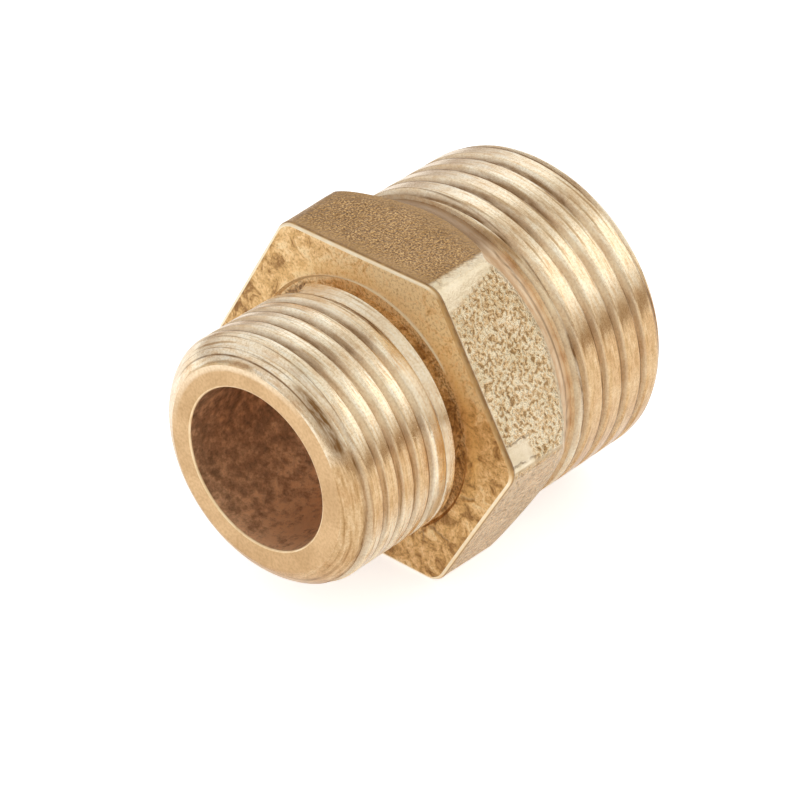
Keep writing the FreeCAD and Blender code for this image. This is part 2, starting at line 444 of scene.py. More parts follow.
def groove_levels(x, radius, blank, thread, groove_depth):
    """Dirt and painted shade in a thread's groove, and how far down the flank each point is. The near crest
    ends in a dark line of dirt and painted shade where it hides the groove, dirt and painted shade spread up
    the far flank, and a painted shadow lies beside each groove on the upper side."""
    turn = course(x, thread)
    depth = np.clip((blank - radius) / groove_depth, 0, 1)
    half_width = groove_depth * FLANK_SLOPE / thread["pitch"]
    line = by_angle(*thread["line"])
    spread = by_angle(*thread["spread"]) * smooth_step(0.1, 0.75, depth)
    near_edge = smooth_step(1 - 1.5 * half_width, 1 - 1.25 * half_width, turn) * smooth_step(0.35, 0.2, depth)
    whole_crest = smooth_step(0.45, 0.3, thread["crest"] - blank)
    far_flank = (turn < 0.5) * np.maximum(spread, 0.4 * line * smooth_step(0.7, 0.9, depth))
    # Painted shadow on the far side of each groove, round the upper side
    darkening = 0.25 * hump(21, 10, DEGREES) * smooth_step(0.55, 0.15, turn)
    dirt_and_shade = np.maximum(line * near_edge * whole_crest, far_flank)
    return np.maximum(dirt_and_shade, darkening), smooth_step(0.0, 0.3, depth)


def large_thread_levels(x, radius):
    """Dirt and painted shade, flank, and tone with painted light of the large end."""
    dirt_and_shade, flank = groove_levels(x, radius, large_blank(x), LARGE_THREAD, LARGE_THREAD["depth"])
    # Painted light round the thread: pale where highlights are painted, golden and dark from about 65 degrees
    # on, a painted reflection of the brown horizon and the floor
    tone = by_angle(
        (-180, 0.0), (-100, 0.4), (-40, 0.6), (-20, 0.5), (-8, 1.0), (12, 0.9), (24, 0.6), (36, 1.0),
        (56, 0.9), (65, 0.3), (72, 0.05), (100, 0.0))
    tone = np.maximum(tone, 1.8 * smooth_step(*DULL_BY_NECK, x))
    # The dark line in the run-out groove is dirt and painted shade
    dirt_and_shade = np.maximum(dirt_and_shade * smooth_step(*LARGE_DIRT_AND_SHADE_STARTS, x), 0.9 * hump(*RUNOUT_LINE, x))
    return dirt_and_shade, flank, tone


def small_chamfer_levels(x, tone):
    """Dirt and tone of the small end with its chamfer's painted light added: pale above and golden on the
    lower side, a painted dark reflection as a crescent on the near side with a painted glint beside it, and a
    little painted shade on the lower side."""
    chamfer = smooth_step(*CHAMFER_PAINTED_LIGHT, x)
    tone = tone + chamfer * (by_angle((-160, 0.0), (-70, 0.9), (-20, 1.15), (57, 1.0), (66, 0.0)) - tone)
    glint = 0.6 * hump(*CHAMFER_GLINT, x) * by_angle((15, 0), (30, 1), (55, 1), (62, 0))
    dark_reflection = hump(*CHAMFER_DARK_REFLECTION, x) * by_angle((18, 0), (34, 1), (57, 1), (64, 0))
    shade_below = 0.12 * chamfer * by_angle((58, 0), (68, 1), (120, 1), (170, 0))
    return dark_reflection + shade_below, tone + glint


def small_thread_levels(x, radius):
    """Dirt and painted shade, flank, and tone with painted light of the small end. Its last crest is worn
    pale, and the crests before that one are painted pale, as light, where they stand beside the hexagon's
    face."""
    groove_depth = SMALL_THREAD["depth"] - LAST_GROOVE_RISE * smooth_step(*LAST_GROOVE_RISES, x)
    dirt_and_shade, flank = groove_levels(x, radius, small_blank(x), SMALL_THREAD, groove_depth)
    # Painted light round the thread: pale where highlights are painted, golden and dark from about 65 degrees
    # on, a painted reflection of the brown horizon and the floor
    tone = by_angle(
        (-180, 0.4), (-100, 0.6), (-20, 0.6), (-8, 1.1), (12, 1.1), (24, 0.8), (36, 1.1), (56, 0.9),
        (65, 0.35), (72, 0.05), (92, 0.0), (106, 0.8), (130, 0.8), (180, 0.4))
    last_crest = x > SMALL_THREAD["at_top"] + SMALL_THREAD["pitch"] * DEGREES / 360 + 0.04
    worn = last_crest * by_angle((-28, 0.0), (-25, 0.6), (100, 0.6), (140, 0.0))
    clean = 1 - np.clip(4 * worn, 0, 1) * (course(x, SMALL_THREAD) < 0.5)
    dirt_and_shade = dirt_and_shade * clean * smooth_step(SMALL_RUNOUT_X + 0.04, SMALL_RUNOUT_X - 0.02, x)
    # Painted light: the crests beside the face are painted paler and duller by angle
    painted_light_by_face = 1.3 * smooth_step(*PAINTED_LIGHT_BY_FACE, x) * (1 - last_crest)
    painted_light_by_face = painted_light_by_face * by_angle(
        (-150, 0), (-60, 1), (-25, 1), (10, 0.4), (35, 0), (55, 0.9), (110, 0.9), (140, 0))
    chamfer_painted_dark, tone = small_chamfer_levels(x, tone)
    return np.clip(dirt_and_shade + chamfer_painted_dark, 0, 1), flank * (1 - worn), tone + worn + painted_light_by_face


def face_levels(x, radius):
    """The front face is painted browner on the right and paler at the top, as light, and golden beside the
    ring, with a painted highlight at the ring's edge and painted shade in the ring's recess."""
    recess = smooth_step(RING_RADIUS - RING_SLOPE + 0.02, RING_RADIUS - RING_SLOPE - 0.08, radius)
    tone = by_angle(
        (-100, 0.45), (-60, 0.30), (-20, 0.80), (10, 1.15), (40, 1.12), (62, 0.90), (75, 0.58), (90, 0.50),
        (110, 0.47), (150, 0.45))
    line_radius = RING_RADIUS + by_angle((-20, -0.10), (10, 0.05))
    # Painted highlight along the ring's edge
    line = hump(line_radius, 0.2, radius) * by_angle((-90, 0.0), (-60, 0.8), (-10, 1), (45, 1), (55, 0.0))
    golden = hump(RING_RADIUS + 0.5, 0.8, radius) * by_angle(
        (-50, 0.1), (-20, 0.5), (10, 0.5), (30, 0.3), (55, 0.7), (70, 1.0), (100, 0.8), (125, 0.1))
    # Painted shade in the ring's recess, by angle
    recess_shade = recess * by_angle(
        (-150, 0.75), (-75, 0.3), (-60, 0.7), (-42, 1.0), (-36, 0.9), (-30, 0.15), (25, 0.3), (50, 0.75))
    return recess_shade, golden * (1 - recess) * (1 - line), tone + line


def edge_levels(x, radius):
    """Dirt and brightness of worn edges. The hexagon's front edge is a line of cream beside a dark
    one, and brown on the near side. The bores' lips are plain."""
    if radius.min() < SMALL_FACE_RADIUS or x.min() > 1:
        return np.zeros_like(x), np.full_like(x, 0.5)
    near = by_angle((28, 0), (33, 1), (87, 1), (93, 0))
    bright = np.maximum(hump(0.03, 0.10, x) * (1 - near), 0.15 * near)
    dark = by_angle((-150, 0.5), (-60, 0.8), (28, 0.8), (93, 0.6), (150, 0.5))
    dark = dark * (1 - near) * smooth_step(0.06, 0.16, x)
    return np.maximum(0.9 * near * hump(0.15, 0.15, x), dark), bright


def flat_levels(x, radius, meeting):
    """Each flat's painted light as a tone, smooth borders, a worn strip along the near corner, dark thin
    lines, and a line of painted shade beside the near corner.
    """
    number = np.round(DEGREES / 60).astype(int) % 6
    along = radius * np.sin(ANGLES - np.radians(60.0 * np.round(np.degrees(ANGLES) / 60)))
    tone = np.array(FLAT_PAINTED_LIGHT)[number]
    tone = np.where((DEGREES > 26.9) & (DEGREES < 31), NEAR_CORNER_PAINTED_LIGHT, tone)
    side = HALF_FLATS * math.tan(math.pi / 6) - np.abs(along)
    border = np.minimum(np.minimum(x - EDGE_BREAK, meeting - x), side)
    smooth = 1 - smooth_step(0.0, np.where(number == 0, 1.3, 0.35), border)
    strip_edge = -4.5 - 0.28 * (x - 0.5)
    strip = (number == 1) * smooth_step(strip_edge + 0.35, strip_edge - 0.1, along)
    strip = np.maximum(strip, (number == 1) * smooth_step(4.1, 4.5, along) * smooth_step(2.4, 1.8, x))
    line = by_angle((28, 0.6), (31, 1.0), (88, 1.0), (92, 0.5))
    # A dark line along the front edge, and a line of painted shade where the upper flat meets the near corner
    dirt_and_shade = line * hump(0.26, 0.08, x) + 0.75 * hump(26.7, 0.5, DEGREES) * smooth_step(0.2, 0.5, x)
    return np.clip(dirt_and_shade, 0, 1), np.maximum(smooth * 0.8, strip), np.maximum(tone, strip)


def neck_levels(x, radius, meeting):
    """The turned back: painted shade, brown, behind the upper flat, and pale on the near side, with a dark
    line at the neck.
    """
    shaded = by_angle((-150, 0.2), (-60, 0.7), (20, 0.7), (29, 0.0), (150, 0.2))
    line = hump(*NECK_LINE, x) * by_angle((-40, 0.5), (10, 0.8), (100, 0.8), (140, 0.5))
    rim = hump(0.0, 0.12, x - meeting)
    return np.maximum(shaded * (1 - rim), line), rim, 1 - shaded


def zone_levels(x, radius, zone, meeting):
    """Dirt and painted shade, polish, and tone with painted light, of one row's points."""
    if zone == "small_thread":
        return small_thread_levels(x, radius)
    if zone == "large_thread":
        return large_thread_levels(x, radius)
    if zone == "face":
        return face_levels(x, radius)
    if zone == "edge":
        return *edge_levels(x, radius), np.zeros_like(x)
    if zone == "end":
        # Painted reflection: the small end's rim is painted paler round its top
        worn = (x < 0) * smooth_step(6.3, 6.6, radius) * by_angle((-90, 0), (-50, 1), (10, 1), (40, 0))
        return np.zeros_like(x), worn, np.zeros_like(x)
    if zone == "bore":
        # Painted light: the bore is painted paler round its lower side
        return np.zeros_like(x), np.zeros_like(x), hump(0, 75, (DEGREES - 165 + 180) % 360 - 180)
    if zone == "flat":
        return flat_levels(x, radius, meeting)
    if zone == "neck":
        return neck_levels(x, radius, meeting)
    # The run-out groove's floor is painted darker all round: painted shade in the recess beside the face
    level = 0.35 if zone == "runout" else 0.0
    return np.full_like(x, level), np.zeros_like(x), np.full_like(x, 0.6)


def build_mesh(skin):
    """The skin's mesh. Each strip takes its levels from its own zone, also at its first row."""
    rows = len(skin.rows)
    columns = len(ANGLES)
    meeting = cone_meets_flats()
    points = []
    levels = []
    for i, (x, radius) in enumerate(skin.rows):
        zone = skin.zones[i]
        turn = course(x, LARGE_THREAD if zone == "large_thread" else SMALL_THREAD)
        levels.append(np.stack([*zone_levels(x, radius, zone, meeting), turn], -1))
        if skin.zones[min(i + 1, rows - 1)] == zone:
            radius = radius - set_in(x, radius, zone)
        points.append(np.stack([x, -radius * np.sin(ANGLES), radius * np.cos(ANGLES)], -1) * MM)
    row, column = np.meshgrid(np.arange(rows - 1), np.arange(columns - 1), indexing="ij")
    first = row * columns + column
    faces = np.stack([first, first + 1, first + columns + 1, first + columns], -1).reshape(-1, 4)
    mesh = bpy.data.meshes.new("nipple_skin")
    mesh.from_pydata(np.array(points).reshape(-1, 3).tolist(), [], faces.tolist())
    zone_names = sorted(set(skin.zones))
    index = np.array([zone_names.index(zone) for zone in skin.zones[1:]])
    mesh.polygons.foreach_set("material_index", np.repeat(index, columns - 1).astype(np.int32))
    corner_rows = faces // columns
    level_rows = np.array(levels)
    own_row = np.repeat(np.arange(1, rows), columns - 1)[:, None]
    first_of_zone = np.array([skin.zones[i] != skin.zones[i - 1] for i in range(rows)])
    starts_zone = first_of_zone[own_row] & (corner_rows < own_row)
    corner_rows = np.where(starts_zone, own_row, corner_rows)
    corners = level_rows[corner_rows, faces % columns].reshape(-1, 4)
    for name, values in zip(("dirt_and_shade", "polish", "tone", "course"), corners.T):
        layer = mesh.attributes.new(name, "FLOAT", "CORNER")
        layer.data.foreach_set("value", values.astype(np.float32))
    piece = bpy.data.objects.new("nipple_skin", mesh)
    bpy.context.scene.collection.objects.link(piece)
    return piece, zone_names


def weld(piece):
    """Joins the points that coincide at the seam and at the ends of the helical rows, and fills the
    slivers that are left at the seam where helical rows meet plain ones."""
    work = bmesh.new()
    work.from_mesh(piece.data)
    bmesh.ops.remove_doubles(work, verts=work.verts, dist=WELD_DISTANCE)
    bmesh.ops.dissolve_degenerate(work, edges=work.edges, dist=1e-7)
    gaps = [edge for edge in work.edges if not edge.is_manifold]
    bmesh.ops.holes_fill(work, edges=gaps, sides=3)
    bmesh.ops.recalc_face_normals(work, faces=work.faces)
    work.to_mesh(piece.data)
    open_edges = sum(1 for edge in work.edges if not edge.is_manifold)
    work.free()
    print("skin faces", len(piece.data.polygons), "edges that aren't closed", open_edges)
    piece.data.shade_smooth()
    piece.data.set_sharp_from_angle(angle=SHARP_ANGLE)


def fill_ramp(tree, factor, stops):
    """A colour ramp over the factor, with stops of position and colour."""
    ramp = tree.nodes.new("ShaderNodeValToRGB")
    elements = ramp.color_ramp.elements
    while len(elements) < len(stops):
        elements.new(0.5)
    for element, (position, colour) in zip(elements, stops):
        element.position = position
        element.color = (*colour, 1)
    tree.links.new(factor, ramp.inputs["Fac"])
    return ramp.outputs["Color"]


class Nodes:
    """A short way to write a material's node tree."""

    def __init__(self, name):
        self.material = bpy.data.materials.new(name)
        self.material.use_nodes = True
        self.tree = self.material.node_tree
        self.shader = self.tree.nodes["Principled BSDF"]
        self.place = self.add("ShaderNodeTexCoord").outputs["Object"]

    def add(self, kind, **settings):
        node = self.tree.nodes.new(kind)
        for key, value in settings.items():
            setattr(node, key, value)
        return node

    def link(self, source, target):
        """Joins a socket to an input, or sets the input to a plain value."""
        if isinstance(source, bpy.types.NodeSocket):
            self.tree.links.new(source, target)
        else:
            target.default_value = source

    def level(self, name):
        """A level that the mesh carries: dirt and painted shade, polish, tone with painted light, or course.
        """
        return self.add("ShaderNodeAttribute", attribute_name=name).outputs["Fac"]

    def noise(self, per_mm, detail=3.0, roughness=0.55, distortion=0.0, shift=None):
        """Noise with that many features a millimetre along x, y and z, moved along x by the shift."""
        stretch = self.add("ShaderNodeMapping")
        stretch.inputs["Scale"].default_value = [count / MM for count in per_mm]
        self.link(self.place, stretch.inputs["Vector"])
        texture = self.add("ShaderNodeTexNoise")
        settings = {"Scale": 1.0, "Detail": detail, "Roughness": roughness, "Distortion": distortion}
        for name, value in settings.items():
            texture.inputs[name].default_value = value
        vector = stretch.outputs["Vector"]
        if shift is not None:
            along = self.add("ShaderNodeCombineXYZ")
            self.link(shift, along.inputs["X"])
            vector = self.vector("ADD", vector, along.outputs["Vector"])
        self.link(vector, texture.inputs["Vector"])
        return texture.outputs["Fac"]

    def math(self, operation, first, second):
        node = self.add("ShaderNodeMath", operation=operation)
        self.link(first, node.inputs[0])
        self.link(second, node.inputs[1])
        return node.outputs[0]

    def vector(self, operation, first, second, output="Vector"):
        node = self.add("ShaderNodeVectorMath", operation=operation)
        self.link(first, node.inputs[0])
        self.link(second, node.inputs["Scale"] if operation == "SCALE" else node.inputs[1])
        return node.outputs[output]

    def ramp(self, factor, stops):
        return fill_ramp(self.tree, factor, stops)

    def span(self, factor, low, high, from_low=0.0, from_high=1.0, smooth=False):
        """Maps from_low to from_high on to low to high."""
        span = self.add("ShaderNodeMapRange", interpolation_type="SMOOTHSTEP" if smooth else "LINEAR")
        limits = {"From Min": from_low, "From Max": from_high, "To Min": low, "To Max": high}
        for name, value in limits.items():
            span.inputs[name].default_value = value
        self.link(factor, span.inputs["Value"])
        return span.outputs["Result"]

    def blend(self, factor, first, second, mode="MIX"):
        mix = self.add("ShaderNodeMix", data_type="RGBA", blend_type=mode)
        self.link(factor, mix.inputs["Factor"])
        self.link(first, mix.inputs["A"])
        self.link(second, mix.inputs["B"])
        return mix.outputs["Result"]

    def near_line(self, place, start, end, width):
        """1 on the line from start to end, 0 further from it than the width."""
        start = Vector(start) * MM
        run = Vector(end) * MM - start
        offset = self.vector("SUBTRACT", place, start)
        share = self.span(self.vector("DOT_PRODUCT", offset, run / run.length_squared, "Value"), 0.0, 1.0)
        distance = self.vector("DISTANCE", offset, self.vector("SCALE", run, share), "Value")
        return self.span(distance, 1.0, 0.0, 0.0, width * MM, smooth=True)

    def marks(self, lines):
        """All of a surface's scratches or creases together, which waver a little."""
        waver = self.add("ShaderNodeTexNoise")
        waver.inputs["Scale"].default_value = 1.6 / MM
        self.link(self.place, waver.inputs["Vector"])
        shift = self.vector("SUBTRACT", waver.outputs["Color"], (0.5, 0.5, 0.5))
        place = self.vector("ADD", self.place, self.vector("SCALE", shift, 0.55 * MM))
        found = 0.0
        for start, end, width in lines:
            found = self.math("MAXIMUM", self.near_line(place, start, end, width), found)
        return found

    def turned_marks(self, rings):
        """Fine rings cut round the axis, which show on the upper side and come and go."""
        parts = self.add("ShaderNodeSeparateXYZ")
        self.link(self.place, parts.inputs[0])
        found = 0.0
        for x, width, strength in rings:
            distance = self.math("ABSOLUTE", self.math("SUBTRACT", parts.outputs["X"], x * MM), 0.0)
            ring = self.span(distance, strength, 0.0, 0.0, width * MM, smooth=True)
            found = self.math("MAXIMUM", ring, found)
        upper = self.span(parts.outputs["Z"], 0.0, 1.0, 3 * MM, 6 * MM, smooth=True)
        broken = self.span(self.noise((0.5, 0.5, 0.5)), 0.4, 1.1, 0.35, 0.55)
        return self.math("MULTIPLY", found, self.math("MULTIPLY", upper, broken))

    def bump(self, height, depth_mm, strength=1.0, under=None):
        bump = self.add("ShaderNodeBump")
        bump.inputs["Strength"].default_value = strength
        bump.inputs["Distance"].default_value = depth_mm * MM
        self.link(height, bump.inputs["Height"])
        if under is not None:
            self.link(under, bump.inputs["Normal"])
        return bump.outputs["Normal"]

    def finish(self, colour, roughness, normal, metallic=1.0):
        self.link(metallic, self.shader.inputs["Metallic"])
        self.link(colour, self.shader.inputs["Base Color"])
        self.link(roughness, self.shader.inputs["Roughness"])
        self.link(normal, self.shader.inputs["Normal"])
        return self.material


def round_the_axis(x, radius, degrees):
    """A place by x, radius and angle."""
    angle = math.radians(degrees)
    return x, -radius * math.sin(angle), radius * math.cos(angle)


# Scratches, by start, end and width, and fine turned rings, by x, width and strength
THREAD_SCRATCHES = [
    (round_the_axis(-4.79, 8.2, 66.1), round_the_axis(-3.68, 8.2, 69.1), 0.07),
    (round_the_axis(-3.31, 8.2, 66.1), round_the_axis(-2.56, 8.2, 68.1), 0.07),
    (round_the_axis(9.58, 10.1, 72), round_the_axis(9.61, 10.1, 84), 0.10),
]
TURNED_RINGS = [
    (-8.90, 0.06, 0.9),
    (-8.62, 0.04, 0.5),
    (-8.02, 0.05, 0.6),
    (7.2, 0.05, 0.6),
    (8.62, 0.06, 0.7),
]
FACE_SCRATCHES = [
    (round_the_axis(0, 8.5, 139.9), round_the_axis(0, 9.08, 137.2), 0.22),
    (round_the_axis(0, 9.08, 137.2), round_the_axis(0, 9.72, 134.7), 0.18),
    (round_the_axis(0, 8.75, 148.2), round_the_axis(0, 8.67, 145.1), 0.15),
    (round_the_axis(0, 8.67, 145.1), round_the_axis(0, 9.29, 148.2), 0.15),
    (round_the_axis(0, 8.55, 112.7), round_the_axis(0, 9.4, 108.8), 0.20),
]


def on_near_flat(x, along):
    """A place on the flat that faces the camera, by x and by the way along the flat."""
    slant = math.radians(60)
    y = -HALF_FLATS * math.sin(slant) - along * math.cos(slant)
    z = HALF_FLATS * math.cos(slant) - along * math.sin(slant)
    return x, y, z


FLAT_SCRATCHES = [
    (on_near_flat(0.4, 4.15), on_near_flat(2.2, 4.25), 0.13),
    (on_near_flat(0.1, 5.45), on_near_flat(2.2, 5.65), 0.13),
]


def darken_by_dirt_and_shade(nodes, colour, dirt_and_shade):
    """The colour darkened to brown where there's dirt and where shade is painted."""
    return nodes.blend(dirt_and_shade, colour, DIRT_AND_SHADE)


def turned_brass(name):
    """Bright turned brass: fine scores along the thread's turns, broken into short streaks. It goes from
    golden to pale with the tone, which carries the painted light, and above a tone of 1 it gets dull."""
    nodes = Nodes(name)
    tone = nodes.level("tone")
    flank = nodes.level("polish")
    turn = nodes.level("course")
    streaks = nodes.noise((0.7, 0.7, 0.7), detail=4.0, roughness=0.7, shift=nodes.math("MULTIPLY", turn, 9.0))
    scores = nodes.noise((0.15, 0.15, 0.15), detail=2.0, shift=nodes.math("MULTIPLY", turn, 5.0))
    patches = nodes.noise((0.6, 0.6, 0.6), detail=6.0, roughness=0.65)
    grain = nodes.noise((7.0, 7.0, 7.0), detail=2.0)
    # Golden and pale copies, shaded and lit, mixed by the painted light
    golden = nodes.ramp(
        streaks, [(0.34, (0.58, 0.37, 0.17)), (0.5, (0.74, 0.50, 0.265)), (0.66, (0.84, 0.62, 0.37))])
    pale = nodes.ramp(
        streaks, [(0.35, (0.86, 0.65, 0.42)), (0.46, (1.0, 0.84, 0.60)), (0.64, (1.0, 0.92, 0.74))])
    crest = nodes.blend(tone, golden, pale)
    wall = nodes.blend(tone, (1.0, 0.78, 0.50, 1), (1.0, 0.88, 0.68, 1))
    base = nodes.blend(nodes.math("MULTIPLY", flank, 0.8), crest, wall)
    scored = nodes.ramp(scores, [(0.29, (0.62, 0.52, 0.40)), (0.41, (1.0, 1.0, 1.0))])
    darkening = nodes.ramp(patches, [(0.38, (0.92, 0.86, 0.80)), (0.55, (1.0, 1.0, 1.0))])
    speckle = nodes.ramp(grain, [(0.36, (0.86, 0.82, 0.78)), (0.56, (1.0, 1.0, 1.0))])
    scratches = nodes.marks(THREAD_SCRATCHES)
    dirt_and_shade = nodes.math("MULTIPLY", nodes.level("dirt_and_shade"), nodes.span(streaks, 1.35, 0.60, 0.38, 0.62))
    dirt_and_shade = nodes.math("MAXIMUM", dirt_and_shade, nodes.math("MULTIPLY", scratches, 0.4))
    dirt_and_shade = nodes.math("MAXIMUM", dirt_and_shade, nodes.turned_marks(TURNED_RINGS))
    colour = nodes.blend(1.0, nodes.blend(1.0, base, scored, "MULTIPLY"), darkening, "MULTIPLY")
    colour = darken_by_dirt_and_shade(nodes, nodes.blend(1.0, colour, speckle, "MULTIPLY"), dirt_and_shade)
    height = nodes.math("SUBTRACT", streaks, nodes.math("MULTIPLY", scratches, 2.0))
    roughness = nodes.math("ADD", nodes.span(streaks, 0.30, 0.14), nodes.math("MULTIPLY", dirt_and_shade, 0.25))
    dull = nodes.math("MAXIMUM", nodes.math("MULTIPLY", flank, 0.75), nodes.span(tone, 0.0, 0.75, 1.0, 2.0))
    return nodes.finish(colour, roughness, nodes.bump(height, 0.012), nodes.span(dull, 1.0, 0.0))


def blasted_brass(name):
    """Forged and blasted flats: a crisp relief of small grains, smooth at the worn borders. Dark and pale
    copies of the grain, shaded and lit, are mixed by each flat's painted light.
    """
    nodes = Nodes(name)
    tone = nodes.level("tone")
    rough_part = nodes.span(nodes.level("polish"), 1.0, 0.0)
    relief = nodes.noise((4.0, 4.0, 4.0), detail=2.5, roughness=0.5, distortion=0.5)
    fine = nodes.noise((8.0, 8.0, 8.0), detail=3.0, roughness=0.6)
    patches = nodes.noise((0.5, 0.5, 0.5), detail=3.0)
    dark = nodes.ramp(
        fine, [(0.38, (0.29, 0.15, 0.055)), (0.50, (0.52, 0.295, 0.115)), (0.60, (0.88, 0.57, 0.26))])
    pale = nodes.ramp(
        relief, [(0.36, (0.44, 0.275, 0.125)), (0.45, (0.86, 0.615, 0.355)), (0.57, (1.0, 0.875, 0.64))])
    # Shaded and lit copies of the grain, mixed by the painted light
    grainy = nodes.blend(tone, dark, pale)
    plain = nodes.blend(tone, (0.46, 0.27, 0.11, 1), (1.0, 0.88, 0.68, 1))
    darkening = nodes.ramp(patches, [(0.35, (0.86, 0.83, 0.76)), (0.65, (1.0, 1.0, 1.0))])
    scratches = nodes.marks(FLAT_SCRATCHES)
    dirt_and_shade = nodes.math("MAXIMUM", nodes.level("dirt_and_shade"), nodes.math("MULTIPLY", scratches, 0.6))
    colour = nodes.blend(1.0, nodes.blend(rough_part, plain, grainy), darkening, "MULTIPLY")
    height = nodes.math("MULTIPLY", nodes.span(rough_part, 0.06, 1.0), relief)
    height = nodes.math("SUBTRACT", height, nodes.math("MULTIPLY", scratches, 0.3))
    normal = nodes.bump(height, 0.30, 1.0, under=nodes.bump(fine, 0.05, 0.9))
    return nodes.finish(darken_by_dirt_and_shade(nodes, colour, dirt_and_shade), nodes.span(rough_part, 0.34, 0.24), normal)


def face_brass(name):
    """The hexagon's front face: golden orange with brown stains and a fine grain, paler and browner where
    light and shade are painted, and darker in the ring where shade is painted.
    """
    nodes = Nodes(name)
    stains = nodes.noise((0.8, 0.8, 0.8), detail=6.0, roughness=0.7, distortion=0.9)
    grain = nodes.noise((5.0, 5.0, 5.0), detail=4.0, roughness=0.7)
    tone = nodes.math("ADD", nodes.level("tone"), nodes.span(stains, -1.9, 1.9))
    base = nodes.ramp(tone, [
        (0.0, (0.36, 0.18, 0.055)),
        (0.4, (0.74, 0.45, 0.175)),
        (0.8, (0.98, 0.67, 0.33)),
        (1.0, (1.0, 0.75, 0.42)),
    ])
    golden = nodes.math("MULTIPLY", nodes.level("polish"), nodes.span(stains, 0.1, 1.0, 0.35, 0.6))
    tint = nodes.ramp(grain, [(0.36, (0.66, 0.58, 0.46)), (0.52, (1.0, 1.0, 1.0))])
    colour = nodes.blend(golden, nodes.blend(1.0, base, tint, "MULTIPLY"), (0.98, 0.63, 0.23, 1))
    # Paler and duller at the painted highlight on the ring's edge
    colour = nodes.blend(nodes.span(nodes.level("tone"), 0.0, 1.0, 1.1, 1.6), colour, (1.0, 0.88, 0.64, 1))
    scratches = nodes.marks(FACE_SCRATCHES)
    dirt_and_shade = nodes.math("MULTIPLY", nodes.level("dirt_and_shade"), nodes.span(grain, 1.2, 0.1, 0.35, 0.6))
    dirt_and_shade = nodes.math("MAXIMUM", dirt_and_shade, nodes.math("MULTIPLY", scratches, 0.6))
    height = nodes.math("SUBTRACT", grain, nodes.math("MULTIPLY", scratches, 1.2))
    normal = nodes.bump(height, 0.05, 0.8, under=nodes.bump(stains, 0.10, 0.6))
    clean = nodes.span(nodes.level("dirt_and_shade"), 0.8, 0.4)
    dark = nodes.span(nodes.level("tone"), 0.8, 0.3, 0.7, 1.4)
    metallic = nodes.math("MINIMUM", clean, dark)
    return nodes.finish(darken_by_dirt_and_shade(nodes, colour, dirt_and_shade), nodes.span(grain, 0.46, 0.30), normal, metallic)


def end_brass(name):
    """The faced ends: an even matt tan, with a painted reflection that makes the small end's rim paler round
    its top.
    """
    nodes = Nodes(name)
    grain = nodes.noise((5.0, 5.0, 5.0), detail=3.0)
    patches = nodes.noise((0.5, 0.5, 0.5), detail=4.0)
    base = nodes.ramp(patches, [(0.35, (0.66, 0.43, 0.22)), (0.65, (0.78, 0.53, 0.29))])
    tint = nodes.ramp(grain, [(0.35, (0.86, 0.83, 0.78)), (0.6, (1.0, 1.0, 1.0))])
    # Paler where the reflection is painted
    worn = nodes.blend(nodes.level("polish"), base, (1.0, 0.80, 0.56, 1))
    colour = nodes.blend(1.0, worn, tint, "MULTIPLY")
    return nodes.finish(colour, nodes.span(grain, 0.46, 0.34), nodes.bump(grain, 0.02, 0.6))


def edge_brass(name):
    """Edges worn bright."""
    nodes = Nodes(name)
    wear = nodes.noise((2.0, 2.0, 2.0), detail=4.0)
    bright = nodes.math("ADD", nodes.level("polish"), nodes.span(wear, -0.3, 0.3))
    base = nodes.ramp(
        bright, [(0.1, (0.62, 0.38, 0.16)), (0.5, (0.94, 0.72, 0.44)), (0.9, (1.0, 0.88, 0.66))])
    dirt_and_shade = nodes.math("MULTIPLY", nodes.level("dirt_and_shade"), nodes.span(wear, 0.5, 1.1, 0.35, 0.6))
    return nodes.finish(darken_by_dirt_and_shade(nodes, base, dirt_and_shade), nodes.span(wear, 0.50, 0.36), nodes.bump(wear, 0.02, 0.8))


def neck_brass(name):
    """The turned back of the hexagon: pale with fine rings, brown where shade is painted and at its dark
    line.
    """
    nodes = Nodes(name)
    streaks = nodes.noise((6.0, 0.4, 0.4), detail=4.0, roughness=0.7)
    patches = nodes.noise((1.2, 1.2, 1.2), detail=4.0)
    base = nodes.ramp(
        streaks, [(0.3, (0.80, 0.56, 0.34)), (0.5, (0.96, 0.74, 0.50)), (0.7, (1.0, 0.87, 0.68))])
    darkening = nodes.ramp(patches, [(0.35, (0.84, 0.78, 0.72)), (0.55, (1.0, 1.0, 1.0))])
    colour = darken_by_dirt_and_shade(nodes, nodes.blend(1.0, base, darkening, "MULTIPLY"), nodes.level("dirt_and_shade"))
    return nodes.finish(colour, nodes.span(streaks, 0.42, 0.28), nodes.bump(streaks, 0.015), 0.6)


def bore_brass(name):
    """The bore: dull reddish brown, mottled, and painted paler round its lower side as light."""
    nodes = Nodes(name)
    mottle = nodes.noise((1.3, 1.3, 1.3), detail=7.0, roughness=0.75)
    lightened = nodes.math("ADD", mottle, nodes.math("MULTIPLY", nodes.level("tone"), 0.16))
    base = nodes.ramp(
        lightened, [(0.34, (0.28, 0.17, 0.09)), (0.5, (0.56, 0.34, 0.20)), (0.66, (0.98, 0.66, 0.40))])
    return nodes.finish(base, nodes.span(mottle, 0.65, 0.45), nodes.bump(mottle, 0.10, 0.9))


def dress(piece, zone_names):
    """Gives each zone of the skin its finish."""
    finishes = {
        "small_thread": turned_brass("turned_brass"),
        "flat": blasted_brass("blasted_brass"),
        "face": face_brass("face_brass"),
        "end": end_brass("end_brass"),
        "edge": edge_brass("edge_brass"),
        "neck": neck_brass("neck_brass"),
        "bore": bore_brass("bore_brass"),
    }
    finishes["large_thread"] = finishes["small_thread"]
    finishes["runout"] = finishes["face"]
    for zone in zone_names:
        piece.data.materials.append(finishes[zone])


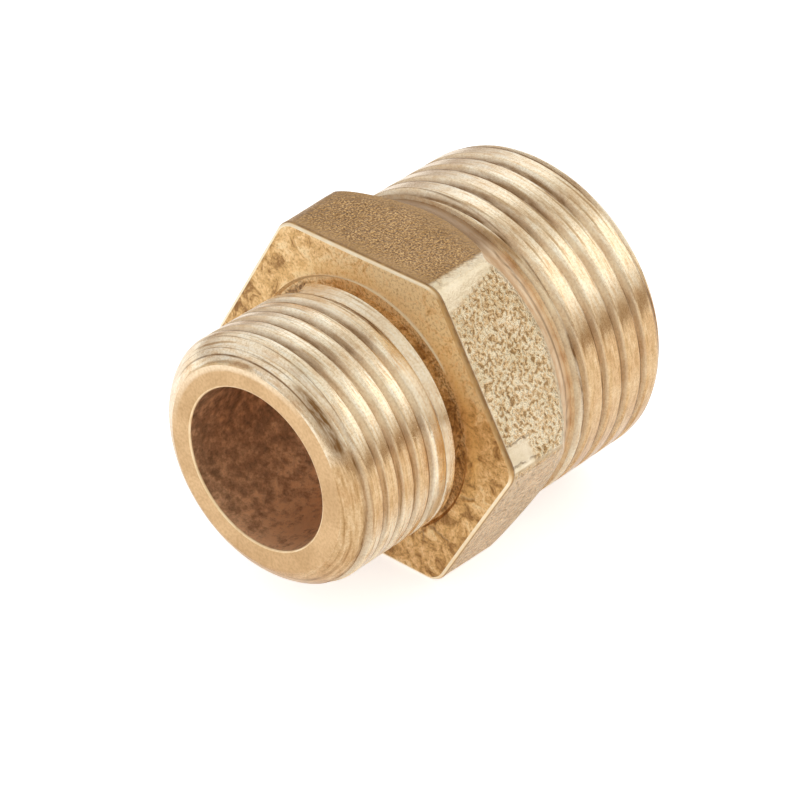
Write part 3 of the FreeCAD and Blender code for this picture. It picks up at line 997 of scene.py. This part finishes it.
def camera_axes():
    """The camera's right, up and backward directions."""
    back = Vector((math.sin(CAMERA_AZIMUTH) * math.cos(CAMERA_ELEVATION),
                   -math.cos(CAMERA_AZIMUTH) * math.cos(CAMERA_ELEVATION),
                   math.sin(CAMERA_ELEVATION)))
    level = Vector((math.cos(CAMERA_AZIMUTH), math.sin(CAMERA_AZIMUTH), 0))
    upright = back.cross(level)
    right = level * math.cos(CAMERA_ROLL) + upright * math.sin(CAMERA_ROLL)
    return right, back.cross(right), back


def add_camera():
    right, up, back = camera_axes()
    data = bpy.data.cameras.new("camera")
    data.lens = CAMERA_LENS
    data.sensor_width = 36
    data.clip_start = 0.005
    data.clip_end = 10
    camera = bpy.data.objects.new("camera", data)
    place = (back * CAMERA_DISTANCE + right * CAMERA_RIGHT + up * CAMERA_UP) * MM
    turn = Matrix((right, up, back)).transposed().to_4x4()
    camera.matrix_world = Matrix.Translation(place) @ turn
    bpy.context.scene.collection.objects.link(camera)
    bpy.context.scene.camera = camera


def add_softbox(name, direction, size, radiance, colour):
    """An area light that way from the part, facing it, as bright as the radiance says."""
    data = bpy.data.lights.new(name, "AREA")
    data.shape = "RECTANGLE"
    data.size = size[0] * MM
    data.size_y = size[1] * MM
    data.energy = radiance * math.pi * data.size * data.size_y
    data.color = colour
    light = bpy.data.objects.new(name, data)
    toward = Vector(direction).normalized()
    light.location = (toward * LAMP_DISTANCE + Vector((4, 0, 0))) * MM
    light.rotation_euler = (-toward).to_track_quat("-Z", "Y").to_euler()
    bpy.context.scene.collection.objects.link(light)


def add_floor():
    """A round white floor that stays white where it isn't shaded."""
    turns = [2 * math.pi * i / 96 for i in range(96)]
    reach = FLOOR_RADIUS * MM
    rim = [(reach * math.cos(turn), reach * math.sin(turn), FLOOR_Z * MM) for turn in turns]
    mesh = bpy.data.meshes.new("floor")
    mesh.from_pydata(rim, [], [list(range(96))])
    floor = bpy.data.objects.new("floor", mesh)
    bpy.context.scene.collection.objects.link(floor)
    material = bpy.data.materials.new("floor_white")
    material.use_nodes = True
    tree = material.node_tree
    tree.nodes.clear()
    diffuse = tree.nodes.new("ShaderNodeBsdfDiffuse")
    diffuse.inputs["Color"].default_value = FLOOR_COLOUR
    glow = tree.nodes.new("ShaderNodeEmission")
    rays = tree.nodes.new("ShaderNodeLightPath")
    glossy = tree.nodes.new("ShaderNodeMath")
    glossy.operation = "MULTIPLY"
    glossy.inputs[1].default_value = FLOOR_GLOW_IN_BRASS
    tree.links.new(rays.outputs["Is Glossy Ray"], glossy.inputs[0])
    seen = tree.nodes.new("ShaderNodeMath")
    seen.operation = "MULTIPLY_ADD"
    seen.inputs[1].default_value = FLOOR_GLOW_TO_CAMERA
    tree.links.new(rays.outputs["Is Camera Ray"], seen.inputs[0])
    tree.links.new(glossy.outputs[0], seen.inputs[2])
    tree.links.new(seen.outputs[0], glow.inputs["Strength"])
    both = tree.nodes.new("ShaderNodeAddShader")
    output = tree.nodes.new("ShaderNodeOutputMaterial")
    tree.links.new(diffuse.outputs[0], both.inputs[0])
    tree.links.new(glow.outputs[0], both.inputs[1])
    tree.links.new(both.outputs[0], output.inputs["Surface"])
    mesh.materials.append(material)


def add_world():
    """A white room for the eye. What lights the brass is a pale dome with a brown band at the horizon
    on the camera's right, which the polished threads show as a dark patch."""
    world = bpy.data.worlds.new("room")
    bpy.context.scene.world = world
    world.use_nodes = True
    tree = world.node_tree
    tree.nodes.clear()
    place = tree.nodes.new("ShaderNodeTexCoord")
    parts = tree.nodes.new("ShaderNodeSeparateXYZ")
    tree.links.new(place.outputs["Generated"], parts.inputs[0])
    height = tree.nodes.new("ShaderNodeMapRange")
    height.inputs["From Min"].default_value = -1
    tree.links.new(parts.outputs["Z"], height.inputs["Value"])
    near = fill_ramp(tree, height.outputs[0], NEAR_DOME)
    far = fill_ramp(tree, height.outputs[0], FAR_DOME)
    far_side = tree.nodes.new("ShaderNodeMapRange")
    far_side.interpolation_type = "SMOOTHSTEP"
    far_side.inputs["From Max"].default_value = 0.45
    tree.links.new(parts.outputs["Y"], far_side.inputs["Value"])
    level = tree.nodes.new("ShaderNodeMix")
    level.data_type = "RGBA"
    tree.links.new(far_side.outputs[0], level.inputs["Factor"])
    tree.links.new(near, level.inputs["A"])
    tree.links.new(far, level.inputs["B"])
    reflected = tree.nodes.new("ShaderNodeBackground")
    tree.links.new(level.outputs["Result"], reflected.inputs["Color"])
    white = tree.nodes.new("ShaderNodeBackground")
    white.inputs["Color"].default_value = (1, 1, 1, 1)
    rays = tree.nodes.new("ShaderNodeLightPath")
    choose = tree.nodes.new("ShaderNodeMixShader")
    output = tree.nodes.new("ShaderNodeOutputWorld")
    tree.links.new(rays.outputs["Is Camera Ray"], choose.inputs["Fac"])
    tree.links.new(reflected.outputs[0], choose.inputs[1])
    tree.links.new(white.outputs[0], choose.inputs[2])
    tree.links.new(choose.outputs[0], output.inputs["Surface"])


def add_lights():
    add_softbox("key", (0.62, -0.56, 0.54), (150, 150), 0.44, (1.0, 0.95, 0.87))
    add_softbox("back", (0.62, 0.42, 0.66), (130, 130), 0.28, (0.90, 0.96, 1.0))


skin_piece, skin_zones = build_mesh(build_skin())
weld(skin_piece)
dress(skin_piece, skin_zones)
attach(skin_piece, BODY)
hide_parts(NODE)

add_floor()
add_world()
add_lights()
add_camera()
bpy.context.scene.view_settings.view_transform = "Standard"
